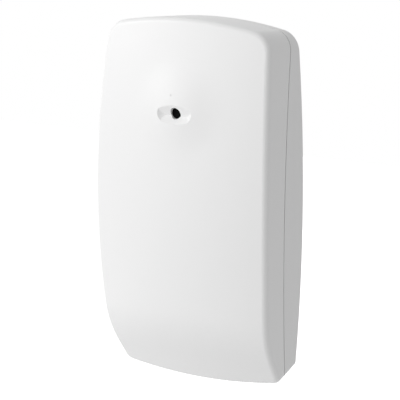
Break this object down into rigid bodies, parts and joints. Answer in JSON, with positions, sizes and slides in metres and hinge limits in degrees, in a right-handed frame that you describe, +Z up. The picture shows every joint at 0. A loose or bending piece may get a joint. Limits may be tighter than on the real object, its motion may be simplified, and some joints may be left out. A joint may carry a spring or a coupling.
{
  "type": "glass break sensor",
  "caption": "Slim white wall-mounted acoustic glass break sensor with a crowned front, a microphone port in a shallow scoop and a tamper switch inside.",
  "frame": {"origin": "on the wall plane, at mid height on the housing's centre line", "axes": "+Z up along the longest extent, +X to the right as seen from the front, the front faces -Y and the wall is at y = 0"},
  "size_m": [0.0612, 0.0241, 0.1118],
  "materials": {
    "cover_plastic": "satin",
    "base_plastic": "satin",
    "screw_steel": "satin",
    "capsule_can": "satin",
    "felt_black": "matt",
    "boot_rubber": "matt",
    "tinned_pin": "satin",
    "led_lens": "gloss",
    "clear_pipe": "polished",
    "terminal_plastic": "satin",
    "clamp_metal": "satin",
    "relay_case": "satin",
    "switch_case": "satin",
    "plunger_plastic": "satin",
    "chip_epoxy": "matt",
    "can_aluminium": "satin",
    "base_black": "satin",
    "crystal_metal": "satin",
    "gold_pin": "polished",
    "cap_plastic": "satin",
    "resistor_film": "satin",
    "capacitor_ceramic": "satin",
    "board_green": "satin"
  },
  "bodies": {
    "housing": {"front_cover": "cover_plastic", "rear_base": "base_plastic", "board_screws": "screw_steel", "microphone_capsule": "capsule_can", "microphone_felt": "felt_black", "microphone_boot": "boot_rubber", "microphone_pins": "tinned_pin", "status_led": "led_lens", "light_pipe": "clear_pipe", "terminal_block": "terminal_plastic", "terminal_clamps": "clamp_metal", "terminal_screws": "screw_steel", "terminal_pins": "tinned_pin", "alarm_relay": "relay_case", "relay_pins": "tinned_pin", "tamper_switch": "switch_case", "tamper_switch_pins": "tinned_pin", "processor_chip": "chip_epoxy", "processor_leads": "tinned_pin", "amplifier_chip": "chip_epoxy", "amplifier_leads": "tinned_pin", "filter_capacitors": "can_aluminium", "capacitor_bases": "base_black", "crystal_can": "crystal_metal", "jumper_header": "base_black", "jumper_pins": "gold_pin", "jumper_caps": "cap_plastic", "diode_terminals": "tinned_pin", "voltage_regulator": "chip_epoxy", "regulator_leads": "tinned_pin", "input_diode": "chip_epoxy", "chip_resistors": "resistor_film", "chip_capacitors": "capacitor_ceramic", "circuit_board": "board_green"},
    "tamper_plunger": {"tamper_plunger": "plunger_plastic"}
  },
  "joints": [
    {"name": "tamper_plunger_press", "type": "slide", "parent": "housing", "child": "tamper_plunger", "axis": [0, 1, 0], "range_m": [0, 0.0012], "stiffness_N_per_m": 300, "springref_m": -0.002}
  ]
}
